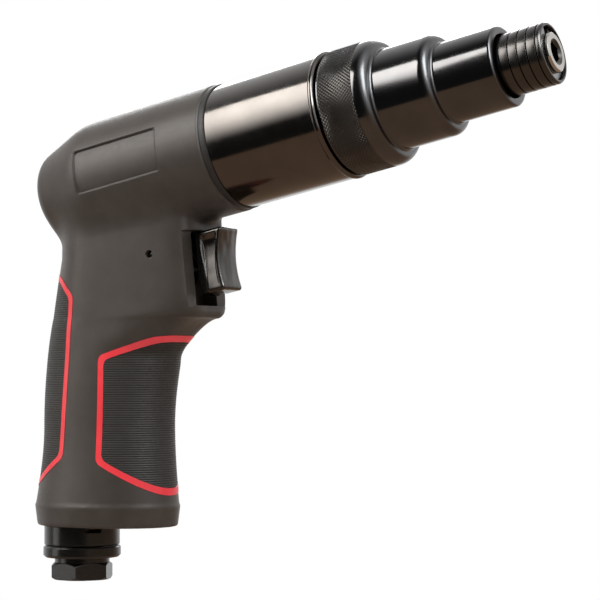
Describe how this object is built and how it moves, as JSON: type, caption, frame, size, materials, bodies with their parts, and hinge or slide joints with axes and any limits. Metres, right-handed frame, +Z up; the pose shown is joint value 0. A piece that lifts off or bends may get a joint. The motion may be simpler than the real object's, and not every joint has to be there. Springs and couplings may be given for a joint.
{
  "type": "pneumatic screwdriver",
  "caption": "Pistol-grip pneumatic screwdriver with an air motor, planetary gears, an adjustable clutch sleeve, a quick-change hexagon bit chuck, a trigger valve and an air inlet.",
  "frame": {"origin": "centre of the mouth of the bit socket, on the drive axis", "axes": "+X along the drive axis out of the bit socket, +Z up away from the handle, +Y to the left side"},
  "size_m": [0.2298, 0.0454, 0.1623],
  "materials": {
    "composite": "satin",
    "grip_rubber": "ribbed matte",
    "trim_red": "satin",
    "seal_rubber": "matte",
    "black_chrome": "polished black",
    "black_oxide": "black oxide",
    "bright_steel": "ground",
    "nickel": "bright nickel",
    "gear_steel": "hardened",
    "spring_steel": "drawn wire",
    "bronze": "turned",
    "motor_iron": "ground",
    "vane_resin": "moulded",
    "trigger_metal": "satin",
    "inlet_metal": "gloss black",
    "felt": "felt"
  },
  "bodies": {
    "tool": {"pistol_housing": "composite", "front_grip_pad": "grip_rubber", "rear_grip_pad": "grip_rubber", "front_grip_trim": "trim_red", "rear_grip_trim": "trim_red", "case_seal": "seal_rubber", "gear_case": "black_chrome", "sleeve_snap_ring": "spring_steel", "clutch_spring": "spring_steel", "clutch_washer": "bright_steel", "clutch_pins": "bright_steel", "clutch_ring_gear": "gear_steel", "fixed_ring_gear": "gear_steel", "spindle_bearing": "bright_steel", "spindle_bush": "bronze", "motor_cylinder": "motor_iron", "rear_end_plate": "motor_iron", "rear_bearing": "bright_steel", "front_end_plate": "motor_iron", "front_bearing": "bright_steel", "valve_bush": "black_oxide", "bush_pin": "black_oxide", "valve_spring": "spring_steel", "inlet_bushing": "inlet_metal", "inlet_screen": "bronze", "inlet_seal": "seal_rubber", "muffler": "felt"},
    "trigger": {"trigger": "trigger_metal", "trigger_stem": "bright_steel"},
    "valve": {"throttle_valve": "bronze", "valve_seal": "seal_rubber"},
    "rotor": {"rotor": "gear_steel", "rotor_vanes": "vane_resin", "drive_pinion": "gear_steel"},
    "first_carrier": {"first_carrier": "gear_steel", "first_planet_pins": "bright_steel"},
    "first_planet_a": {"first_planet_a": "gear_steel"},
    "first_planet_b": {"first_planet_b": "gear_steel"},
    "first_planet_c": {"first_planet_c": "gear_steel"},
    "spindle": {"spindle": "gear_steel", "second_planet_pins": "bright_steel", "bit_holder": "nickel", "chuck_clip": "spring_steel", "chuck_spring": "spring_steel"},
    "second_planet_a": {"second_planet_a": "gear_steel"},
    "second_planet_b": {"second_planet_b": "gear_steel"},
    "second_planet_c": {"second_planet_c": "gear_steel"},
    "sleeve": {"adjusting_sleeve": "black_chrome"},
    "nut": {"adjusting_nut": "gear_steel"},
    "chuck": {"chuck_sleeve": "black_oxide"},
    "ball": {"retaining_ball": "bright_steel"},
    "deflector": {"exhaust_deflector": "inlet_metal"}
  },
  "joints": [
    {"name": "trigger_press", "type": "slide", "parent": "tool", "child": "trigger", "axis": [-1, 0, 0], "range_m": [0, 0.0055], "stiffness_N_per_m": 700, "springref_m": -0.003, "deforming": ["valve_spring"]},
    {"name": "valve_travel", "type": "slide", "parent": "tool", "child": "valve", "axis": [-1, 0, 0], "range_m": [0, 0.0055]},
    {"name": "rotor_spin", "type": "hinge", "parent": "tool", "child": "rotor", "pos_m": [-0.1555, 0, 0], "axis": [1, 0, 0], "continuous": true},
    {"name": "first_carrier_spin", "type": "hinge", "parent": "tool", "child": "first_carrier", "pos_m": [-0.1135, 0, 0], "axis": [1, 0, 0], "continuous": true},
    {"name": "spindle_spin", "type": "hinge", "parent": "tool", "child": "spindle", "pos_m": [-0.0925, 0, 0], "axis": [1, 0, 0], "continuous": true},
    {"name": "first_planet_a_spin", "type": "hinge", "parent": "first_carrier", "child": "first_planet_a", "pos_m": [-0.1205, 0, -0.0105], "axis": [1, 0, 0], "continuous": true},
    {"name": "first_planet_b_spin", "type": "hinge", "parent": "first_carrier", "child": "first_planet_b", "pos_m": [-0.1205, 0.00909, 0.00525], "axis": [1, 0, 0], "continuous": true},
    {"name": "first_planet_c_spin", "type": "hinge", "parent": "first_carrier", "child": "first_planet_c", "pos_m": [-0.1205, -0.00909, 0.00525], "axis": [1, 0, 0], "continuous": true},
    {"name": "second_planet_a_spin", "type": "hinge", "parent": "spindle", "child": "second_planet_a", "pos_m": [-0.1102, 0, -0.0105], "axis": [1, 0, 0], "continuous": true},
    {"name": "second_planet_b_spin", "type": "hinge", "parent": "spindle", "child": "second_planet_b", "pos_m": [-0.1102, 0.00909, 0.00525], "axis": [1, 0, 0], "continuous": true},
    {"name": "second_planet_c_spin", "type": "hinge", "parent": "spindle", "child": "second_planet_c", "pos_m": [-0.1102, -0.00909, 0.00525], "axis": [1, 0, 0], "continuous": true},
    {"name": "sleeve_turn", "type": "hinge", "parent": "tool", "child": "sleeve", "pos_m": [-0.0625, 0, 0], "axis": [1, 0, 0], "range_deg": [-360, 360]},
    {"name": "nut_travel", "type": "slide", "parent": "sleeve", "child": "nut", "axis": [1, 0, 0], "range_m": [-0.0015, 0.0015], "deforming": ["clutch_spring"]},
    {"name": "chuck_slide", "type": "slide", "parent": "spindle", "child": "chuck", "axis": [1, 0, 0], "range_m": [-0.003, 0], "stiffness_N_per_m": 1500, "springref_m": 0.003, "deforming": ["chuck_spring"]},
    {"name": "ball_lift", "type": "slide", "parent": "spindle", "child": "ball", "axis": [0, 0, 1], "range_m": [0, 0.0006]},
    {"name": "deflector_turn", "type": "hinge", "parent": "tool", "child": "deflector", "pos_m": [-0.21475, 0, -0.12229], "axis": [-0.1959, 0, -0.9806], "continuous": true}
  ],
  "couplings": [
    {"joint": "valve_travel", "follows": "trigger_press", "ratio": 1},
    {"joint": "first_carrier_spin", "follows": "rotor_spin", "ratio": 0.3},
    {"joint": "spindle_spin", "follows": "rotor_spin", "ratio": 0.09},
    {"joint": "nut_travel", "follows": "sleeve_turn", "m_per_rad": 0.00023873},
    {"joint": "ball_lift", "follows": "chuck_slide", "ratio": -0.2},
    {"joint": "first_planet_a_spin", "follows": "rotor_spin", "ratio": -1.05},
    {"joint": "first_planet_b_spin", "follows": "rotor_spin", "ratio": -1.05},
    {"joint": "first_planet_c_spin", "follows": "rotor_spin", "ratio": -1.05},
    {"joint": "second_planet_a_spin", "follows": "rotor_spin", "ratio": -0.315},
    {"joint": "second_planet_b_spin", "follows": "rotor_spin", "ratio": -0.315},
    {"joint": "second_planet_c_spin", "follows": "rotor_spin", "ratio": -0.315}
  ]
}
